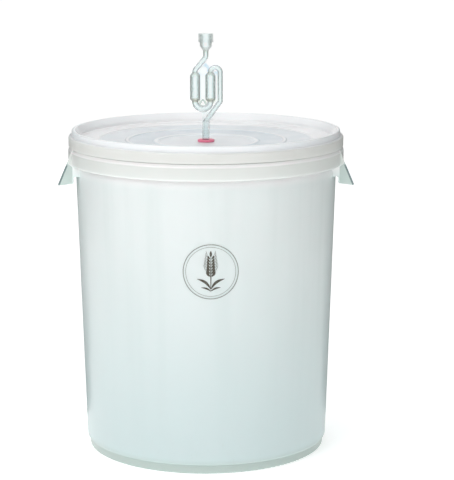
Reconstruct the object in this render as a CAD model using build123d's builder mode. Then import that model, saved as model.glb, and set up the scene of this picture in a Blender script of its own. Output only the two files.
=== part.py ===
from build123d import *
import os

# Plastic fermenting bucket with a lid that snaps over its rim, a rubber grommet and a twin-chamber airlock.
# Millimetres, +Z up. The origin is on the bucket's axis, on the surface that it stands on.
# The hand grips point along +X and -X, and the airlock is flat to the front, in the XZ plane.

# Bucket wall and base
foot_height = 11.7            # step between the foot ring and the wall
foot_radius = 155.8
foot_ring_width = 6.0
wall_base_radius = 159.3      # outside of the wall where it meets the foot step
wall_taper = 0.0308           # radius gained for each mm of height
wall_thickness = 2.2
base_underside = 9.4
base_top = 12.2
base_ring_radii = (62.0, 112.0)  # low stiffening rings on the underside
base_ring_width = 1.6
base_ring_drop = 1.2
inner_base_rounding = 7.0

# Rim under the lid
rim_top = 407.9
rim_bead_radius = 175.4
rim_bead_bottom = 404.9
rim_undercut = 402.9

# Collar: a shelf below the rim with a skirt that hangs from its edge
shelf_top = 399.9
shelf_bottom = 397.3
shelf_edge_radius = 177.0
shelf_inner_radius = 170.4    # inside the wall, so that the two join
collar_radius = 180.0
collar_skirt_top = 395.8
collar_bottom = 379.0
collar_thickness = 2.2
rib_count_per_side = 10
rib_first_angle = 22.5        # clear of the grips
rib_thickness = 1.8
rib_length = 8.0              # from inside the wall to inside the skirt
rib_radius = 174.4            # middle of a rib
rib_drop = 4.0                # how far a rib stops above the skirt's edge

# Hand grips: a sloping flat plate between two end walls, open below
grip_half_width = 50.0
grip_slope = 0.427            # outward run for each mm of drop
grip_plate_thickness = 3.2
grip_end_thickness = 2.6
grip_bottom = 354.0
grip_top = 399.2
grip_end_bottom = 356.2
grip_inner_edge = 170.4       # inner edge of an end wall below its notch
grip_notch_top = 365.0
grip_pocket_top = 395.6
grip_root = 160.0             # the block runs this far in, and the wall's inside is cut last

# Lid
lid_top = 421.5
lip_radius = 175.1
lip_inner_radius = 171.0
lid_radius = 179.5
lid_shoulder = 413.2
lid_skirt_bottom = 400.4
lid_skirt_thickness = 2.2
channel_top = 411.0
snap_bead_radius = rim_bead_radius + 0.4
snap_bead_height = 402.4
snap_bead_half_height = 1.2
plug_radius = 168.4
plug_bottom = 402.0
plug_thickness = 2.7
ledge_height = 409.6
ledge_inner_radius = 140.5
panel_height = 404.0          # top face round the grommet
panel_thickness = 2.2
outer_bead_radius = 103.2
inner_bead_radius = 66.5
outer_ring_rise = 2.7         # the panel steps up outwards, ring by ring
inner_ring_rise = 0.9
ring_dish = 1.4               # how far a ring sinks towards its inner edge
bead_rise = 0.7
running_gap = 0.08            # radial clearance of the grommet in the lid, and of the stem in the grommet

# Gasket
gasket_inner_radius = 169.6
gasket_outer_radius = 174.6
gasket_bottom = rim_top + 0.3

# Grommet
grommet_top = 406.8
grommet_flange_radius = 11.0
grommet_neck_radius = 6.32
grommet_lower_radius = 8.0
grommet_tip_radius = 6.9
grommet_bottom = 396.8
grommet_seat_gap = 0.1

# Airlock. Heights are above the top of the grommet, and X is from the axis of the stem.
stem_radius = 4.7
stem_top_radius = 4.8
stem_below = 22.0
stem_height = 26.0
tube_radius = 3.5
airlock_wall = 1.1
left_chamber_x = -14.0
right_chamber_x = 5.95
riser_x = 18.6
chamber_radius = 6.7
chamber_bottom = 52.6
chamber_top = 84.0
chamber_cone = 4.6
chamber_base_cone = 3.2
cone_overlap = 0.5            # how far a cone's small end runs into the tube that it meets
bend_radius = 4.2             # tube radius of the bend that joins the chambers
bend_height = 49.8
riser_bend = 49.5
arch_height = 87.7
neck_bend = 107.6
cup_bottom = 114.6
cup_cone_top = 121.0
cup_low_radius = 7.7
cup_radius = 8.2
cup_taper_top = 127.0
cup_top = 137.4
web_thickness = 1.8
pad_centre = (-3.4, 90.0)     # round pad between the chambers' tops
pad_radius = 5.2

# Airlock cap
cap_bottom = 127.0
cap_top = 138.8
cap_inner_radius = 8.6
cap_top_radius = 9.8
cap_lip_radius = 10.4
cap_thickness = 1.1
cap_vent_radius = 0.8
cap_vent_circle = 5.6
cap_vent_count = 4


def wall_radius(height):
    """Outside radius of the tapered wall at a height."""
    return wall_base_radius + (height - foot_height) * wall_taper


def grip_plane(height):
    """X of the grip plate's outer face, which leaves the collar at its bottom edge."""
    return collar_radius + (collar_bottom + 1.2 - height) * grip_slope


def round_corners(radius, *points):
    """Round the corners of the sketch in hand that lie nearest to the points."""
    fillet([vertices().sort_by_distance(point)[0] for point in points], radius=radius)


# ---- bucket ----

with BuildPart() as grip_pocket:
    pocket_outline = [
        (grip_root - 10, grip_pocket_top),
        (grip_plane(grip_pocket_top) - grip_plate_thickness, grip_pocket_top),
        (grip_plane(grip_bottom - 5) - grip_plate_thickness, grip_bottom - 5),
        (grip_root - 10, grip_bottom - 5),
    ]
    with BuildSketch(Plane.XZ):
        with BuildLine():
            Polyline(*pocket_outline, close=True)
        make_face()
        round_corners(2.0, pocket_outline[1])
    extrude(amount=grip_half_width - grip_end_thickness, both=True)

with BuildPart() as grip:
    grip_outline = [
        (grip_root, grip_top),
        (grip_plane(grip_top) - 0.8, grip_top),
        (grip_plane(grip_top - 2.2), grip_top - 2.2),
        (grip_plane(grip_bottom), grip_bottom),
        (grip_plane(grip_bottom) - 4.2, grip_bottom),
        (grip_inner_edge, grip_end_bottom),
        (grip_inner_edge, grip_notch_top),
        (grip_root, grip_notch_top),
    ]
    with BuildSketch(Plane.XZ):
        with BuildLine():
            Polyline(*grip_outline, close=True)
        make_face()
        round_corners(1.2, grip_outline[3])
        round_corners(1.4, grip_outline[5])
        round_corners(2.8, grip_outline[6])
    extrude(amount=grip_half_width, both=True)
    add(grip_pocket.part, mode=Mode.SUBTRACT)

with BuildPart() as bucket:
    # collar: shelf and hanging skirt
    collar_outline = [
        (shelf_inner_radius, shelf_top),
        (shelf_edge_radius, shelf_top),
        (collar_radius, collar_skirt_top),
        (collar_radius, collar_bottom),
        (collar_radius - collar_thickness, collar_bottom),
        (collar_radius - collar_thickness, collar_skirt_top - 0.8),
        (shelf_edge_radius - 1.2, shelf_bottom),
        (shelf_inner_radius, shelf_bottom),
    ]
    with BuildSketch(Plane.XZ):
        with BuildLine():
            Polyline(*collar_outline, close=True)
        make_face()
        round_corners(1.0, collar_outline[1])
        round_corners(4.0, collar_outline[2])
        round_corners(0.8, collar_outline[3], collar_outline[4])
    revolve(axis=Axis.Z)
    # stiffening ribs between the skirt and the wall
    for first_angle in (rib_first_angle, 180 + rib_first_angle):
        with BuildSketch(Plane.XY.offset(collar_bottom + rib_drop)):
            with PolarLocations(rib_radius, rib_count_per_side, first_angle, 180 - 2 * rib_first_angle):
                Rectangle(rib_length, rib_thickness)
        extrude(amount=shelf_bottom + 1.0 - collar_bottom - rib_drop)
    # the skirt opens into each grip's pocket
    with PolarLocations(0, 2):
        add(grip_pocket.part, mode=Mode.SUBTRACT)
        add(grip.part)
    # wall, base and foot ring, over a solid core that is hollowed out last
    wall_outline = [
        (0, base_underside),
        (foot_radius - foot_ring_width, base_underside),
        (foot_radius - foot_ring_width, 0),
        (foot_radius, 0),
        (foot_radius + 0.4, foot_height),
        (wall_base_radius, foot_height),
        (wall_radius(rim_undercut), rim_undercut),
        (rim_bead_radius, rim_bead_bottom),
        (rim_bead_radius, rim_top),
        (0, rim_top),
    ]
    with BuildSketch(Plane.XZ):
        with BuildLine():
            Polyline(*wall_outline, close=True)
        make_face()
        round_corners(1.2, wall_outline[1], wall_outline[2])
        round_corners(2.4, wall_outline[3])
        round_corners(0.6, wall_outline[4])
        round_corners(2.3, wall_outline[5])
        round_corners(0.8, wall_outline[7])
        round_corners(1.4, wall_outline[8])
    revolve(axis=Axis.Z)
    inner_base_radius = wall_radius(base_top) - wall_thickness
    inner_rim_radius = wall_radius(rim_top) - wall_thickness
    with BuildSketch(Plane.XZ):
        with BuildLine():
            Polyline(
                (0, base_top),
                (inner_base_radius, base_top),
                (inner_rim_radius, rim_top),
                (inner_rim_radius, rim_top + 10),
                (0, rim_top + 10),
                close=True,
            )
        make_face()
        round_corners(inner_base_rounding, (inner_base_radius, base_top))
    revolve(axis=Axis.Z, mode=Mode.SUBTRACT)
    # low stiffening rings under the base
    with BuildSketch(Plane.XY.offset(base_underside)):
        for ring_radius in base_ring_radii:
            Circle(ring_radius)
            Circle(ring_radius - base_ring_width, mode=Mode.SUBTRACT)
    extrude(amount=-base_ring_drop)
bucket.part.label = "bucket"

# ---- lid ----

with BuildPart() as lid:
    lid_hole_radius = grommet_neck_radius + running_gap
    skirt_inner = lid_radius - lid_skirt_thickness
    outer_ring_low = panel_height + outer_ring_rise
    inner_ring_low = panel_height + inner_ring_rise
    top_outline = [
        (lid_hole_radius, panel_height),
        (inner_bead_radius - 5.5, panel_height),
        (inner_bead_radius - 2.2, inner_ring_low + bead_rise),
        (inner_bead_radius + 2.2, inner_ring_low + bead_rise),
        (inner_bead_radius + 4.5, inner_ring_low),
        (outer_bead_radius - 3.0, inner_ring_low + ring_dish),
        (outer_bead_radius - 1.2, outer_ring_low + bead_rise),
        (outer_bead_radius + 1.2, outer_ring_low + bead_rise),
        (outer_bead_radius + 2.8, outer_ring_low),
        (ledge_inner_radius - 3.0, outer_ring_low + ring_dish),
        (ledge_inner_radius, ledge_height),
        (plug_radius - 2.8, ledge_height),
        (plug_radius - 1.9, lid_shoulder + 0.6),
        (lip_inner_radius, lid_top),
        (lip_radius, lid_top),
        (lip_radius + 0.3, lid_shoulder + 0.8),
        (lid_radius, lid_shoulder),
        (lid_radius, lid_skirt_bottom),
    ]
    under_outline = [
        (skirt_inner, lid_skirt_bottom),
        (skirt_inner, snap_bead_height - snap_bead_half_height),
        (snap_bead_radius, snap_bead_height - 0.3),
        (snap_bead_radius, snap_bead_height + 0.3),
        (skirt_inner, snap_bead_height + snap_bead_half_height),
        (skirt_inner, channel_top),
        (plug_radius, channel_top),
        (plug_radius - 0.5, plug_bottom),
        (plug_radius - plug_thickness, plug_bottom),
        (plug_radius - plug_thickness, ledge_height - panel_thickness),
        (ledge_inner_radius + 0.6, ledge_height - panel_thickness),
        (ledge_inner_radius - 2.4, outer_ring_low + ring_dish - panel_thickness),
        (outer_bead_radius + 1.0, outer_ring_low - panel_thickness),
        (outer_bead_radius - 1.6, inner_ring_low + ring_dish - panel_thickness),
        (inner_bead_radius + 3.0, inner_ring_low - panel_thickness),
        (inner_bead_radius - 4.0, panel_height - panel_thickness),
        (lid_hole_radius, panel_height - panel_thickness),
    ]
    with BuildSketch(Plane.XZ):
        with BuildLine():
            Polyline(*top_outline, *under_outline, close=True)
        make_face()
        round_corners(1.4, top_outline[2], top_outline[3])
        round_corners(0.9, top_outline[6], top_outline[7])
        round_corners(1.6, top_outline[10])
        round_corners(2.6, top_outline[11])
        round_corners(6.0, top_outline[12])
        round_corners(1.5, top_outline[13], top_outline[14])
        round_corners(0.9, top_outline[15])
        round_corners(2.0, top_outline[16])
        round_corners(0.9, top_outline[17])
        round_corners(0.5, under_outline[6], under_outline[7], under_outline[8])
    revolve(axis=Axis.Z)
lid.part.label = "lid"

with BuildPart() as lid_gasket:
    gasket_outline = [
        (gasket_inner_radius, gasket_bottom),
        (gasket_outer_radius, gasket_bottom),
        (gasket_outer_radius, channel_top),
        (gasket_inner_radius, channel_top),
    ]
    with BuildSketch(Plane.XZ):
        with BuildLine():
            Polyline(*gasket_outline, close=True)
        make_face()
        round_corners(1.1, gasket_outline[0], gasket_outline[1])
    revolve(axis=Axis.Z)
lid_gasket.part.label = "lid_gasket"

# ---- grommet ----

with BuildPart() as grommet:
    seat_top = panel_height + grommet_seat_gap
    seat_bottom = panel_height - panel_thickness - grommet_seat_gap
    bore_radius = stem_radius + running_gap
    grommet_outline = [
        (bore_radius, grommet_top),
        (grommet_flange_radius, grommet_top),
        (grommet_flange_radius, seat_top),
        (grommet_neck_radius, seat_top),
        (grommet_neck_radius, seat_bottom),
        (grommet_lower_radius, seat_bottom),
        (grommet_tip_radius, grommet_bottom),
        (bore_radius, grommet_bottom),
    ]
    with BuildSketch(Plane.XZ):
        with BuildLine():
            Polyline(*grommet_outline, close=True)
        make_face()
        round_corners(0.9, grommet_outline[1])
        round_corners(0.5, grommet_outline[2])
        round_corners(0.6, grommet_outline[5], grommet_outline[6])
        round_corners(0.3, grommet_outline[0])
    revolve(axis=Axis.Z)
grommet.part.label = "grommet"

# ---- airlock ----

airlock_plane = Plane(origin=(0, 0, grommet_top), x_dir=(1, 0, 0), z_dir=(0, -1, 0))


def run_tube(route, radius):
    """Sweep a round tube along a route on the seam plane, its own seam turned away from that plane."""
    start = route ^ 0
    with BuildSketch(Plane(start).rotated((0, 0, 45))) as section:
        Circle(radius)
    sweep(section.sketch, path=route)


def spin(x, *outline):
    """Turn an outline about the upright line at x."""
    with BuildSketch(airlock_plane) as profile:
        with BuildLine():
            Polyline(*outline, close=True)
        make_face()
    revolve(profile.sketch, axis=Axis((x, 0, 0), (0, 0, 1)))


def add_chamber(x, inset):
    """A bubble chamber: a cylinder that narrows to the tube above and to the bend below."""
    body = chamber_radius - inset
    foot = chamber_bottom - chamber_base_cone
    crown = chamber_top + chamber_cone
    spin(
        x,
        (x, foot),
        (x + bend_radius - inset - cone_overlap, foot),
        (x + body, chamber_bottom),
        (x + body, chamber_top),
        (x + tube_radius - inset - cone_overlap, crown),
        (x, crown),
    )


def add_stem(inset, reach):
    """The tapered stem, straight where it stands in the grommet."""
    spin(
        0,
        (0, -stem_below - reach),
        (stem_radius - inset, -stem_below - reach),
        (stem_radius - inset, 1.0),
        (stem_top_radius - inset, stem_height - 3.0),
        (tube_radius - inset - cone_overlap, stem_height),
        (0, stem_height),
    )


def add_cup(inset, reach):
    """The open cup at the top, under the cap."""
    spin(
        0,
        (0, cup_bottom),
        (tube_radius - inset - cone_overlap, cup_bottom),
        (cup_low_radius - inset, cup_cone_top),
        (cup_radius - inset, cup_taper_top),
        (cup_radius - inset, cup_top + reach),
        (0, cup_top + reach),
    )


def add_riser(radius):
    """The tube from the stem, up beside the right chamber and over into its top."""
    arch_radius = (riser_x - right_chamber_x) / 2
    with BuildLine(airlock_plane) as route:
        FilletPolyline(
            (0, stem_height - 8),
            (0, stem_height - 2),
            (riser_x, riser_bend),
            (riser_x, arch_height),
            radius=5,
        )
        ThreePointArc(
            (riser_x, arch_height),
            (riser_x - arch_radius, arch_height + arch_radius),
            (right_chamber_x, arch_height),
        )
        Line((right_chamber_x, arch_height), (right_chamber_x, chamber_top + 1))
    run_tube(route.line, radius)


def add_bend(radius):
    """The bend that joins the two chambers below."""
    middle = (left_chamber_x + right_chamber_x) / 2
    bend = (right_chamber_x - left_chamber_x) / 2
    with BuildLine(airlock_plane) as route:
        Line((left_chamber_x, chamber_bottom), (left_chamber_x, bend_height))
        ThreePointArc(
            (left_chamber_x, bend_height),
            (middle, bend_height - bend),
            (right_chamber_x, bend_height),
        )
        Line((right_chamber_x, bend_height), (right_chamber_x, chamber_bottom))
    run_tube(route.line, radius)


def add_neck(radius):
    """The tube from the left chamber's top to the cup."""
    with BuildLine(airlock_plane) as route:
        FilletPolyline(
            (left_chamber_x, chamber_top + 2),
            (left_chamber_x, chamber_top + 6.5),
            (0, neck_bend),
            (0, cup_bottom + 1),
            radius=4.5,
        )
    run_tube(route.line, radius)


def add_channels(inset, reach):
    """The whole run of tubes and chambers, with its surfaces moved in by the inset."""
    add_stem(inset, reach)
    add_riser(tube_radius - inset)
    add_chamber(right_chamber_x, inset)
    add_bend(bend_radius - inset)
    add_chamber(left_chamber_x, inset)
    add_neck(tube_radius - inset)
    add_cup(inset, reach)


with BuildPart() as airlock_bore:
    add_channels(airlock_wall, 2.0)

with BuildPart() as airlock:
    add_channels(0.0, 0.0)
    # flat webs on the seam plane that stiffen the tubes, with a small window inside the bend
    with BuildSketch(airlock_plane):
        between_chambers = [(-9, 43), (1, 43), (1, 87), (-9, 87)]
        under_neck = [(-10.5, 86), (-0.5, 101), (4.6, 95.6), (6, 86)]
        beside_riser = [(9, 48), (15, 48), (17, 53), (17, 89), (9, 89)]
        over_stem = [(-4.2, 21), (3, 23), (12, 42), (6, 42), (-5.6, 38)]
        for web in (between_chambers, under_neck, beside_riser, over_stem):
            with BuildLine():
                Polyline(*web, close=True)
            make_face()
        with BuildLine():
            Polyline((-4.0, 50.6), (-7.0, 45.2), (-1.0, 45.2), close=True)
        make_face(mode=Mode.SUBTRACT)
    extrude(amount=web_thickness / 2, both=True)
    with BuildSketch(airlock_plane):
        with Locations(pad_centre):
            Circle(pad_radius)
    extrude(amount=web_thickness * 0.9, both=True)
    add(airlock_bore.part, mode=Mode.SUBTRACT)

with BuildPart() as airlock_shell_front:
    add(airlock.part)
    split(bisect_by=Plane.XZ, keep=Keep.TOP)
airlock_shell_front.part.label = "airlock_shell_front"

with BuildPart() as airlock_shell_rear:
    add(airlock.part)
    split(bisect_by=Plane.XZ, keep=Keep.BOTTOM)
airlock_shell_rear.part.label = "airlock_shell_rear"

with BuildPart() as airlock_cap:
    cap_outline = [
        (0, cap_top),
        (cap_top_radius, cap_top),
        (cap_top_radius + 0.25, cap_bottom + 1.9),
        (cap_lip_radius, cap_bottom + 1.4),
        (cap_lip_radius, cap_bottom),
        (cap_lip_radius - cap_thickness, cap_bottom),
        (cap_inner_radius, cap_bottom + 2.4),
        (cap_inner_radius - 0.1, cap_top - cap_thickness),
        (0, cap_top - cap_thickness),
    ]
    with BuildSketch(airlock_plane):
        with BuildLine():
            Polyline(*cap_outline, close=True)
        make_face()
        round_corners(0.9, cap_outline[1])
        round_corners(0.4, cap_outline[4])
    revolve(axis=Axis.Z)
    with BuildSketch(Plane.XY.offset(grommet_top + cap_top)):
        with PolarLocations(cap_vent_circle, cap_vent_count, 45):
            Circle(cap_vent_radius)
    extrude(amount=-2 * cap_thickness, mode=Mode.SUBTRACT)
airlock_cap.part.label = "airlock_cap"

# ---- one STEP file for each piece ----

os.makedirs("parts", exist_ok=True)
pieces = [bucket, lid, lid_gasket, grommet, airlock_shell_front, airlock_shell_rear, airlock_cap]
for piece in pieces:
    export_step(piece.part, f"parts/{piece.part.label}.step")
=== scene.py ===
import math

import bmesh
import bpy
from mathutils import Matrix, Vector


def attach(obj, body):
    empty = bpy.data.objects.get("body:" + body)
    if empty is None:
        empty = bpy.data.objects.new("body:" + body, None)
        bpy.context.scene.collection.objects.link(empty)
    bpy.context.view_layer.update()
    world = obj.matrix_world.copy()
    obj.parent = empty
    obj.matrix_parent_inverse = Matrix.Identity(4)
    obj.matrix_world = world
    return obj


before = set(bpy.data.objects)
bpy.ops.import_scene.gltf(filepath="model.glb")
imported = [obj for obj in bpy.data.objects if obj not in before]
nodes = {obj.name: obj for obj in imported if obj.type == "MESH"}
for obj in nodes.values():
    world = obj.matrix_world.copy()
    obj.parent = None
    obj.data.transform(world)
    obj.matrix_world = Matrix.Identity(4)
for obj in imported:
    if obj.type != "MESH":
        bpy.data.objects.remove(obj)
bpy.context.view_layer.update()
mm = 0.001
print("frame loaded:", len(nodes), "pieces")


def srgb(code):
    # six hex digits to linear red, green, blue
    parts = [int(code[i:i + 2], 16) / 255 for i in (0, 2, 4)]
    return [p / 12.92 if p <= 0.04045 else ((p + 0.055) / 1.055) ** 2.4 for p in parts]


def rgba(code):
    return (*srgb(code), 1.0)


# shader helpers

class Signal:
    # one output of a node; arithmetic on it adds Math nodes
    def __init__(self, finish, socket):
        self.finish = finish
        self.socket = socket

    def mathNode(self, operation, first, second):
        return self.finish.node("ShaderNodeMath", {"operation": operation}, {0: first, 1: second})

    def __add__(self, other):
        return self.mathNode("ADD", self, other)

    def __radd__(self, other):
        return self.mathNode("ADD", other, self)

    def __sub__(self, other):
        return self.mathNode("SUBTRACT", self, other)

    def __rsub__(self, other):
        return self.mathNode("SUBTRACT", other, self)

    def __mul__(self, other):
        return self.mathNode("MULTIPLY", self, other)

    def __rmul__(self, other):
        return self.mathNode("MULTIPLY", other, self)

    def __gt__(self, other):
        return self.mathNode("GREATER_THAN", self, other)

    def __lt__(self, other):
        return self.mathNode("LESS_THAN", self, other)


class NodeSheet:
    # a node tree, and one method that adds any node to it
    def __init__(self, tree):
        self.tree = tree

    def feed(self, socket, value):
        if isinstance(value, Signal):
            self.tree.links.new(value.socket, socket)
        else:
            socket.default_value = value

    def node(self, kind, settings=None, inputs=None, output=0):
        made = self.tree.nodes.new(kind)
        for key, value in (settings or {}).items():
            if key == "stops":
                ramp = made.color_ramp
                while len(ramp.elements) < len(value):
                    ramp.elements.new(0.5)
                for element, (place, colour) in zip(ramp.elements, value):
                    element.position = place
                    element.color = colour
            else:
                setattr(made, key, value)
        for key, value in (inputs or {}).items():
            self.feed(made.inputs[key], value)
        return Signal(self, made.outputs[output])


class Finish(NodeSheet):
    # a material, its shader, and the patterns that finishes are made of
    def __init__(self, name, **constants):
        self.material = bpy.data.materials.new(name)
        self.material.use_nodes = True
        super().__init__(self.material.node_tree)
        self.shader = self.tree.nodes["Principled BSDF"]
        for socketName, value in constants.items():
            self.shader.inputs[socketName.replace("_", " ")].default_value = value

    def place(self):
        # the piece's own coordinates, which are the frame's, in metres
        return self.node("ShaderNodeTexCoord", output="Object")

    def axes(self):
        split = self.node("ShaderNodeSeparateXYZ", inputs={0: self.place()})
        outputs = split.socket.node.outputs
        return [Signal(self, outputs[i]) for i in range(3)]

    def noise(self, scale, detail=2.0, stretch=(1, 1, 1), roughness=0.5):
        spread = self.node("ShaderNodeVectorMath", {"operation": "MULTIPLY"}, {0: self.place(), 1: stretch})
        inputs = {"Vector": spread, "Scale": scale, "Detail": detail, "Roughness": roughness}
        return self.node("ShaderNodeTexNoise", None, inputs)

    def band(self, value, low, high, outLow=0.0, outHigh=1.0):
        # a smooth step of the value between two places
        settings = {"interpolation_type": "SMOOTHSTEP"}
        inputs = {0: value, 1: low, 2: high, 3: outLow, 4: outHigh}
        return self.node("ShaderNodeMapRange", settings, inputs)

    def blendColour(self, mask, first, second):
        inputs = {"Factor": mask, 6: first, 7: second}
        return self.node("ShaderNodeMix", {"data_type": "RGBA"}, inputs, output=2)

    def span(self, value, low, high):
        # soft at both ends, full over the middle half
        half = (high - low) / 2
        return self.band(self.distance(value, (low + high) / 2), half, half / 2)

    def distance(self, value, place):
        return self.node("ShaderNodeMath", {"operation": "ABSOLUTE"}, {0: value - place})

    def bump(self, height, strength, distance):
        inputs = {"Height": height, "Strength": strength, "Distance": distance}
        return self.node("ShaderNodeBump", None, inputs)

    def drive(self, socketName, signal):
        self.feed(self.shader.inputs[socketName], signal)


def dress(node, finish):
    # give a piece of the frame its finish
    slots = nodes[node].material_slots
    if not slots:
        nodes[node].data.materials.append(finish.material)
    for slot in slots:
        slot.material = finish.material


# bucket

bucketLook = {
    "wall": rgba("e4f1ef"),
    "wallShade": rgba("d9e8e5"),      # milky clouding in the wall
    "wallLowShade": rgba("c6dada"),        # painted shade, darker towards the foot
    # painted light for the wall just under the collar, where the collar's shade falls
    "wallTopLight": rgba("fafefd"),
    "collar": rgba("d9deda"),
    # painted shade on the grips, strongest on faces turned to the front and back
    "grip": rgba("c1cdc9"),
    "gripEdgeShade": rgba("53696b"),       # painted shade on the plate seen along its length
    # painted shade on the foot band, which faces down and sits in shadow
    "foot": rgba("b4c0bb"),
    "scuff": rgba("b9bfb8"),
    "collarTopLight": rgba("f8faf9"),      # painted light: the sloping top, lightened in the shade under the lid's skirt
    "collarSlope": (0.3948, 0.4003),
    "collarBottom": 0.379,
    "lowShade": (0.36, 0.02),         # where the darker tone starts, and where it is full
    "footHeight": 0.0117,
    "gripStart": 0.1714,              # metres out from the middle, below the collar
    "collarReach": 0.0061,
    "roughness": 0.36,
}

# the outer face of a grip's plate: x = atFloor - slope * z, in metres
gripPlane = {
    "slope": 0.427,
    "atFloor": 0.180 + 0.3802 * 0.427,
    "plate": 0.0032,                  # thickness
    "top": (0.3825, 0.3785),
}


def makeBucketFinish(look):
    finish = Finish(
        "bucketPlastic",
        Subsurface_Weight=0.5,
        Subsurface_Radius=(0.007, 0.009, 0.0085),
        Subsurface_Scale=1.0,
        IOR=1.49,
        Specular_IOR_Level=0.4,
        Coat_Weight=0.3,
        Coat_Roughness=0.14,
    )
    x, y, z = finish.axes()
    cloud = finish.band(finish.noise(9, 3, (1, 1, 0.35)), 0.35, 0.75)
    flow = finish.band(finish.noise(46, 2, (1, 1, 0.03)), 0.42, 0.7)   # upright flow marks of the moulding
    colour = finish.blendColour(cloud * 0.5 + flow * 0.4, look["wall"], look["wallShade"])
    # painted shade: the wall darker towards the foot
    colour = finish.blendColour(finish.band(z, *look["lowShade"]) * 0.9, colour, look["wallLowShade"])
    # painted light on the wall just under the collar, where its shade falls
    underCollarLight = finish.band(z, look["collarBottom"] - 0.016, look["collarBottom"])
    colour = finish.blendColour(underCollarLight * 0.8, colour, look["wallTopLight"])
    onCollar = finish.band(z, look["collarBottom"] - 0.002, look["collarBottom"] + 0.004)
    colour = finish.blendColour(onCollar, colour, look["collar"])
    # painted light on the collar's sloping top, in the shade of the lid's skirt
    colour = finish.blendColour(finish.span(z, *look["collarSlope"]), colour, look["collarTopLight"])
    reach = finish.node("ShaderNodeMath", {"operation": "ABSOLUTE"}, {0: x})
    normal = finish.node("ShaderNodeNewGeometry", output="Normal")
    facing = finish.node("ShaderNodeSeparateXYZ", inputs={0: normal}, output=1)
    endOn = finish.node("ShaderNodeMath", {"operation": "ABSOLUTE"}, {0: facing}) > 0.8
    # a grip reaches past the wall below the collar, and past the collar above
    start = look["gripStart"] + look["collarReach"] * onCollar
    onGrip = finish.band(reach - start, 0.0, 0.0008)
    # painted shade on the grips, full on their end faces
    colour = finish.blendColour(onGrip * (0.35 + 0.65 * endOn), colour, look["grip"])
    plateInside = gripPlane["atFloor"] - z * gripPlane["slope"] - gripPlane["plate"]
    onPlate = finish.band(reach - plateInside, 0.0, 0.0014) * finish.band(z, *gripPlane["top"])
    # painted shade on the end of the grip's plate
    colour = finish.blendColour(endOn * onPlate * 0.85, colour, look["gripEdgeShade"])
    # painted shade on the foot band
    footShadeMask = finish.band(z, look["footHeight"] + 0.009, look["footHeight"] - 0.004)
    colour = finish.blendColour(footShadeMask * 0.9, colour, look["foot"])
    # fine scuffs gather low on the wall and round the foot
    scratches = finish.noise(420, 4, (1, 1, 0.12), 0.7)
    low = finish.band(z, 0.09, 0.0)
    scuff = finish.band(scratches, 0.62, 0.74) * low * 0.35
    colour = finish.blendColour(scuff, colour, look["scuff"])
    finish.drive("Base Color", colour)
    finish.drive("Roughness", look["roughness"] + 0.10 * cloud + 0.12 * scuff)
    grain = finish.noise(1500, 3)
    ripple = finish.noise(30, 2, (1, 1, 0.25))
    finish.drive("Normal", finish.bump(grain * 0.12 + ripple, 0.35, 0.0006))
    return finish


dress("bucket", makeBucketFinish(bucketLook))
print("bucket dressed")


# lid and gasket

lidLook = {
    "skirt": rgba("dee1dd"),
    # painted light: the lip's top, lighter than the skirt below
    "lipLight": rgba("eaedef"),
    "lipBottom": 0.4125,
    "dust": rgba("d8dbd6"),
    # painted light and shade: the stepped panel's ledge, rings and centre each get their own tone
    "ledge": rgba("f6f9fb"),
    "outerRing": rgba("dbe5eb"),
    "innerRing": rgba("d2dee6"),
    "centre": rgba("e4ecf1"),
    # painted highlight along the ring steps
    "beadHighlight": rgba("f4f7f9"),
    "ringEdges": (0.066, 0.103, 0.139),
    "panelEdge": (0.1725, 0.1705),
    "roughness": 0.26,
    "rubbed": 0.08,                   # the outside is handled, so it is duller than the panel
}


def makeLidFinish(look):
    finish = Finish(
        "lidPlastic",
        Subsurface_Weight=0.5,
        Subsurface_Radius=(0.007, 0.008, 0.008),
        Subsurface_Scale=1.0,
        IOR=1.49,
        Specular_IOR_Level=0.45,
    )
    x, y, z = finish.axes()
    flat = finish.node("ShaderNodeCombineXYZ", None, {0: x, 1: y})
    radius = finish.node("ShaderNodeVectorMath", {"operation": "LENGTH"}, {0: flat}, output="Value")
    cloud = finish.band(finish.noise(34, 0), 0.3, 0.8)
    inside = finish.band(radius, *look["panelEdge"])
    colour = finish.blendColour(cloud * 0.35, look["skirt"], look["dust"])
    # painted light on the lid's lip
    onLip = finish.band(z, look["lipBottom"], look["lipBottom"] + 0.0015)
    colour = finish.blendColour(onLip, colour, look["lipLight"])
    # painted light and shade: a tone for each ring of the stepped panel
    inner, middle, outer = look["ringEdges"]
    pastInner = finish.band(radius, inner - 0.003, inner + 0.003)
    panel = finish.blendColour(pastInner, look["centre"], look["innerRing"])
    pastMiddle = finish.band(radius, middle - 0.002, middle + 0.002)
    panel = finish.blendColour(pastMiddle, panel, look["outerRing"])
    pastOuter = finish.band(radius, outer - 0.004, outer + 0.001)
    panel = finish.blendColour(pastOuter, panel, look["ledge"])
    # painted highlights along the inner and middle ring steps
    for edge in (inner, middle):
        line = finish.band(finish.distance(radius, edge), 0.0026, 0.0012)
        panel = finish.blendColour(line * 0.8, panel, look["beadHighlight"])
    panel = finish.blendColour(cloud * 0.25, panel, look["ledge"])
    colour = finish.blendColour(inside, colour, panel)
    finish.drive("Base Color", colour)
    finish.drive("Roughness", look["roughness"] + look["rubbed"] * (1 - inside))
    # a satin grain, and the slow unevenness of a large moulding
    grain = finish.noise(1400, 2)
    finish.drive("Normal", finish.bump(grain * 0.1 + finish.noise(26, 1), 0.3, 0.0005))
    return finish


dress("lid", makeLidFinish(lidLook))

gasketLook = {"rubber": rgba("c6c8c2"), "rubberShade": rgba("b4b7b0"), "roughness": 0.6}


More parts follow.
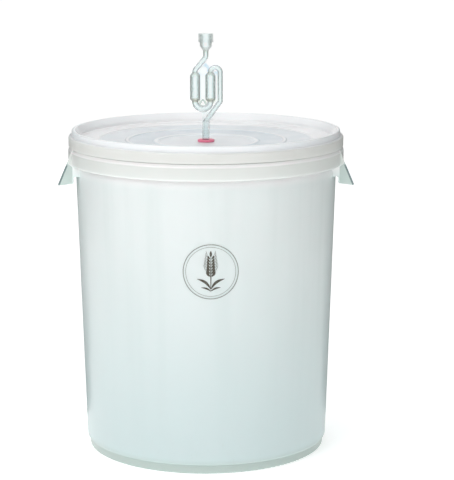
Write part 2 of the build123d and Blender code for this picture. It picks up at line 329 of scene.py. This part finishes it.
def makeGasketFinish(look):
    finish = Finish("gasketRubber", IOR=1.5, Specular_IOR_Level=0.35)
    speckle = finish.band(finish.noise(900, 3), 0.4, 0.65)
    finish.drive("Base Color", finish.blendColour(speckle, look["rubber"], look["rubberShade"]))
    finish.drive("Roughness", look["roughness"] + 0.1 * speckle)
    finish.drive("Normal", finish.bump(speckle, 0.3, 0.0003))
    return finish


dress("lid_gasket", makeGasketFinish(gasketLook))
print("lid and gasket dressed")


# grommet

grommetLook = {
    "rubber": rgba("f0829e"),
    "rubberDark": rgba("e26c8a"),
    "bloom": rgba("f2aebf"),
    "roughness": 0.42,
}


def makeGrommetFinish(look):
    finish = Finish("grommetRubber", IOR=1.5, Specular_IOR_Level=0.5, Subsurface_Weight=0.1,
                    Subsurface_Radius=(0.004, 0.001, 0.001), Subsurface_Scale=1.0)
    mottle = finish.band(finish.noise(380, 3), 0.35, 0.7)
    bloom = finish.band(finish.noise(140, 4), 0.5, 0.8)      # pale bloom that old rubber has
    colour = finish.blendColour(mottle, look["rubber"], look["rubberDark"])
    finish.drive("Base Color", finish.blendColour(bloom * 0.35, colour, look["bloom"]))
    finish.drive("Roughness", look["roughness"] + 0.18 * bloom)
    finish.drive("Normal", finish.bump(finish.noise(2600, 3), 0.25, 0.0002))
    return finish


dress("grommet", makeGrommetFinish(grommetLook))


# airlock

airlockLook = {
    "clear": rgba("e9f4f4"),
    "seamTint": rgba("e0eeea"),
    "thick": rgba("bfc6b6"),          # painted shade: the chambers' lower ends
    "thickGreen": rgba("dae6e0"),     # lighter painted shade: upper ends and the foot of the cup
    "web": rgba("9fc2de"),
    # painted shade on the gusset between the chambers
    "gusset": rgba("7d978b"),
    "capClear": rgba("fafefe"),
    "cupStart": (0.521, 0.528),
    "cupDensity": 0.4,
    "density": 0.58,                  # how strongly the clear plastic shows
    "capDensity": 0.36,
    "seamWidth": 0.0006,
    "webHalf": 0.00095,
    "webSpan": (0.4885, 0.5105),
    "gussetAt": (-0.0040, 0.4541, 0.0062),
    # upright line, lowest and highest point, half width and tint
    "endShadeSpots": (
        (-0.0140, 0.4550, 0.4608, 0.0066, "thick"),
        (0.00595, 0.4550, 0.4608, 0.0066, "thick"),
        (-0.0140, 0.4900, 0.4960, 0.0050, "thickGreen"),
        (0.00595, 0.4900, 0.4960, 0.0050, "thickGreen"),
        (0.0, 0.5195, 0.5265, 0.0085, "thickGreen"),
    ),
}


def makeAirlockFinish(look):
    finish = Finish("airlockPlastic", Transmission_Weight=1.0, IOR=1.52, Specular_IOR_Level=0.5)
    x, y, z = finish.axes()
    depth = finish.node("ShaderNodeMath", {"operation": "ABSOLUTE"}, {0: y})
    # the weld stands out as a faint line
    seam = finish.band(depth, look["seamWidth"] * 1.6, look["seamWidth"] * 0.4)
    streak = finish.band(finish.noise(160, 3, (1, 1, 0.2)), 0.45, 0.7)
    colour = finish.blendColour(seam * 0.5 + streak * 0.1, look["clear"], look["seamTint"])
    web = (depth < look["webHalf"]) * finish.span(z, *look["webSpan"])
    colour = finish.blendColour(web * 0.8, colour, look["web"])
    # painted shade on the gusset
    gussetX, gussetZ, gussetReach = look["gussetAt"]
    gusset = (finish.distance(x, gussetX) + finish.distance(z, gussetZ)) < gussetReach
    colour = finish.blendColour((depth < look["webHalf"]) * gusset * 0.9, colour, look["gusset"])
    # painted shade at the chambers' ends and the cup's foot
    for lineX, low, high, halfWidth, tint in look["endShadeSpots"]:
        near = finish.span(z, low, high) * (finish.distance(x, lineX) < halfWidth)
        colour = finish.blendColour(near, colour, look[tint])
    finish.drive("Base Color", colour)
    # the two halves are welded, so their meeting faces don't show
    density = finish.band(z, *look["cupStart"], look["density"], look["cupDensity"])
    finish.drive("Alpha", (depth > 0.00005) * density)
    finish.drive("Roughness", 0.02 + 0.05 * streak + 0.25 * seam)
    finish.drive("Normal", finish.bump(finish.noise(210, 2), 0.08, 0.0005))
    return finish


def makeCapFinish(look):
    finish = Finish("airlockCapPlastic", Transmission_Weight=0.95, IOR=1.12, Specular_IOR_Level=0.5,
                    Alpha=look["capDensity"])
    frost = finish.band(finish.noise(240, 3), 0.4, 0.7)
    finish.drive("Base Color", finish.blendColour(frost * 0.3, look["capClear"], look["seamTint"]))
    finish.drive("Roughness", 0.14 + 0.1 * frost)
    finish.drive("Normal", finish.bump(finish.noise(520, 2), 0.1, 0.0004))
    return finish


airlockFinish = makeAirlockFinish(airlockLook)
dress("airlock_shell_front", airlockFinish)
dress("airlock_shell_rear", airlockFinish)
dress("airlock_cap", makeCapFinish(airlockLook))
print("grommet and airlock dressed")


# print on the wall

printLook = {
    "centreAcross": 5.6,       # mm, along the wall from the front
    "centreHeight": 264.4,
    "outerRing": (34.4, 1.1),  # radius and line width
    "innerRing": (31.2, 0.5),
    "inkDark": rgba("4d4a40"),
    "inkGrey": rgba("8d9690"),
    "lift": 0.06,
    "thickness": 0.10,
}
wallBaseRadius = 159.3
wallFootHeight = 11.7
wallTaper = 0.0308


def wallPoint(across, height, lift):
    # a point on the tapered wall, in metres, from mm round the wall and up
    radius = wallBaseRadius + (height - wallFootHeight) * wallTaper
    turn = across / radius
    reach = (radius + lift) * mm
    return Vector((reach * math.sin(turn), -reach * math.cos(turn), height * mm))


def makePrint(name, strips, finish, look):
    # strips are closed ribbons and leaves, each given by two rows of points with the same length
    low = look["lift"]
    high = look["lift"] + look["thickness"]
    mesh = bmesh.new()
    for left, right in strips:
        rows = []
        for row in (left, right):
            centre = [(look["centreAcross"] + a, look["centreHeight"] + h) for a, h in row]
            rows.append([mesh.verts.new(wallPoint(a, h, high)) for a, h in centre])
            rows.append([mesh.verts.new(wallPoint(a, h, low)) for a, h in centre])
        topLeft, lowLeft, topRight, lowRight = rows
        sides = ((topLeft, topRight), (lowRight, lowLeft), (lowLeft, topLeft), (topRight, lowRight))
        for i in range(len(left) - 1):
            for a, b in sides:
                mesh.faces.new((a[i], a[i + 1], b[i + 1], b[i]))
        if math.dist(left[0], left[-1]) > 1e-6:       # a full ring needs no ends
            for i in (0, -1):
                mesh.faces.new((topLeft[i], topRight[i], lowRight[i], lowLeft[i]))
    bmesh.ops.remove_doubles(mesh, verts=mesh.verts, dist=1e-6)
    bmesh.ops.recalc_face_normals(mesh, faces=mesh.faces)
    data = bpy.data.meshes.new(name)
    mesh.to_mesh(data)
    mesh.free()
    data.materials.append(finish.material)
    piece = bpy.data.objects.new(name, data)
    bpy.context.scene.collection.objects.link(piece)
    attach(piece, "bucket")


def ringStrip(radius, width, steps=96):
    turns = [2 * math.pi * i / steps for i in range(steps + 1)]
    reaches = (radius - width / 2, radius + width / 2)
    return [[(reach * math.sin(t), reach * math.cos(t)) for t in turns] for reach in reaches]


def leafStrip(base, tip, width, bow=0.0, steps=10):
    # a slim leaf from base to tip, bowed to one side
    (x0, y0), (x1, y1) = base, tip
    length = math.hypot(x1 - x0, y1 - y0)
    along = ((x1 - x0) / length, (y1 - y0) / length)
    beside = (-along[1], along[0])
    rows = [[], []]
    for i in range(steps + 1):
        t = i / steps
        half = width / 2 * math.sin(math.pi * (0.02 + 0.96 * t)) ** 0.8
        off = bow * math.sin(math.pi * t)
        for row, side in zip(rows, (-1, 1)):
            push = off + side * half
            across = x0 + along[0] * length * t + beside[0] * push
            up = y0 + along[1] * length * t + beside[1] * push
            row.append((across, up))
    return rows


def barleyEar():
    # an upright ear of barley: stalk, paired grains that lean outward, their awns, and two long leaves
    strips = [leafStrip((0, -26), (0, 20), 1.3, 0.0, 16)]
    pairs = 7
    for i in range(pairs):
        height = -6 + i * 3.7
        grow = 1 - 0.05 * i
        for side in (-1, 1):
            root = (side * 0.9, height)
            tip = (side * 5.6 * grow, height + 6.6 * grow)
            strips.append(leafStrip(root, tip, 3.1 * grow, side * -0.5))
            strips.append(leafStrip(tip, (side * (9.0 - 0.5 * i), height + 15.5 * grow), 0.55, side * -0.4))
    strips.append(leafStrip((0, 18.5), (0, 26.5), 3.0))
    for side in (-1, 1):
        strips.append(leafStrip((0, -22), (side * 17, -9), 3.4, side * 2.8, 14))
        strips.append(leafStrip((0, -24.5), (side * 12, -20), 2.2, side * 1.2, 12))
    return strips


def makeInkFinish(name, colour):
    finish = Finish(name, IOR=1.5, Specular_IOR_Level=0.4)
    wear = finish.band(finish.noise(700, 4), 0.55, 0.75)      # thin spots where the ink took badly
    finish.drive("Base Color", finish.blendColour(wear * 0.35, colour, bucketLook["wallShade"]))
    finish.drive("Roughness", 0.45 + 0.2 * wear)
    finish.drive("Normal", finish.bump(wear, 0.2, 0.0001))
    return finish


greyInk = makeInkFinish("greyInk", printLook["inkGrey"])
darkInk = makeInkFinish("darkInk", printLook["inkDark"])
ringStrips = [ringStrip(*printLook["outerRing"]), ringStrip(*printLook["innerRing"])]
makePrint("print_ring", ringStrips, greyInk, printLook)
makePrint("print_barley", barleyEar(), darkInk, printLook)
print("print made")


# floor, light and camera

cornerCards = (
    (-0.28, 1.25, -1.1, 1.0),
    (0.28, 1.25, 1.1, 1.0),
    (-1.1, 1.0, -1.2, -0.1),
    (1.1, 1.0, 1.2, -0.9),
)
studio = {
    "floorHalf": 14.0,
    "skyNear": 0.83,      # brightness at the horizon
    "skyHigh": 0.5,
    "cardTones": {"dark": (rgba("39423f"), rgba("454e4a")), "pale": (rgba("bec8c4"), rgba("c8d2ce"))},
    "floorGlow": 0.46,
    # name, place, height aimed at, width and height, power
    "lights": (
        ("keyLight", (-1.7, -2.3, 2.1), 0.25, (1.6, 1.6), 26.0),
        ("fillLight", (2.2, -2.0, 1.2), 0.25, (1.4, 1.4), 5.9),
        ("stripLight", (1.02, -2.3, 0.7), 0.3, (0.14, 1.6), 2.2),
        ("topLight", (-0.2, 0.5, 2.3), 0.4, (1.5, 1.5), 13.5),
    ),
    # lowest and highest point, then each card's two ends on the floor
    "sideCards": (0.03, 1.1, cornerCards),
    "clearCards": (0.03, 1.1, cornerCards),
    "edgeCards": (0.0, 0.36, ((-0.175, 0.3, -0.5, 0.3), (0.175, 0.3, 0.5, 0.3))),
    "footCards": (0.0, 0.16, ((-0.18, 0.11, -0.3, 0.13), (0.18, 0.11, 0.3, 0.13))),
}


def makePlane(name, corners, finish):
    data = bpy.data.meshes.new(name)
    data.from_pydata(corners, [], [tuple(range(len(corners)))])
    data.materials.append(finish.material)
    piece = bpy.data.objects.new(name, data)
    bpy.context.scene.collection.objects.link(piece)
    return piece


def makeFloor(look):
    finish = Finish("floorPaper", Roughness=0.9, Specular_IOR_Level=0.1, Emission_Color=(1, 1, 1, 1),
                    Emission_Strength=look["floorGlow"])
    tone = finish.band(finish.noise(3, 2), 0.3, 0.7)
    finish.drive("Base Color", finish.blendColour(tone * 0.3, rgba("fafafa"), rgba("f6f7f8")))
    half = look["floorHalf"]
    corners = [(-half, -half, 0), (half, -half, 0), (half, half, 0), (-half, half, 0)]
    makePlane("floor", corners, finish)


def makeCards(name, look, tone, rays):
    # upright cards that the camera doesn't see; rays names what does see them
    first, second = look["cardTones"][tone]
    finish = Finish(f"{name}Cloth", Roughness=0.9)
    finish.drive("Base Color", finish.blendColour(finish.noise(8, 1), first, second))
    low, high, places = look[f"{name}Cards"]
    for i, (x0, y0, x1, y1) in enumerate(places):
        corners = [(x0, y0, low), (x1, y1, low), (x1, y1, high), (x0, y0, high)]
        card = makePlane(f"{name}_card_{i}", corners, finish)
        card.visible_camera = False
        card.visible_shadow = False
        for kind in ("diffuse", "glossy", "transmission"):
            setattr(card, f"visible_{kind}", kind in rays)


def makeLight(name, place, aimHeight, size, power):
    data = bpy.data.lights.new(name, "AREA")
    data.shape = "RECTANGLE"
    data.size, data.size_y = size
    data.energy = power
    lamp = bpy.data.objects.new(name, data)
    lamp.location = place
    aim = Vector((0, 0, aimHeight)) - Vector(place)
    lamp.rotation_euler = aim.to_track_quat("-Z", "Y").to_euler()
    bpy.context.scene.collection.objects.link(lamp)


def makeSky(look):
    world = bpy.data.worlds.new("studioSky")
    world.use_nodes = True
    bpy.context.scene.world = world
    sheet = NodeSheet(world.node_tree)
    direction = sheet.node("ShaderNodeTexCoord", output="Generated")
    upward = sheet.node("ShaderNodeSeparateXYZ", None, {0: direction}, output=2)
    levels = ((0.0, look["skyNear"]), (0.30, look["skyNear"]), (0.75, look["skyHigh"]))
    stops = [(place, (level, level, level, 1)) for place, level in levels]
    ramp = sheet.node("ShaderNodeValToRGB", {"stops": stops}, {0: upward})
    sheet.feed(world.node_tree.nodes["Background"].inputs["Color"], ramp)


makeFloor(studio)
makeCards("side", studio, "dark", ("diffuse", "glossy"))      # shade the object's sides
makeCards("clear", studio, "pale", ("transmission",))         # draw the edges of clear plastic
makeCards("edge", studio, "dark", ("glossy",))                # draw the wall's outline low down
makeCards("foot", studio, "dark", ("glossy",))                # and right by the foot
makeSky(studio)
for light in studio["lights"]:
    makeLight(*light)

cameraSetup = {
    "distance": 2.422,
    "height": 0.738,
    "tiltDown": 10.88,
    "turnRight": 0.65,
    "lens": 139.85,
}
cameraData = bpy.data.cameras.new("camera")
cameraData.lens = cameraSetup["lens"]
cameraData.sensor_width = 36
camera = bpy.data.objects.new("camera", cameraData)
camera.location = (0, -cameraSetup["distance"], cameraSetup["height"])
pitch = math.radians(90 - cameraSetup["tiltDown"])
camera.rotation_euler = (pitch, 0, math.radians(-cameraSetup["turnRight"]))
bpy.context.scene.collection.objects.link(camera)
bpy.context.scene.camera = camera
bpy.context.scene.view_settings.view_transform = "Standard"
print("studio ready")
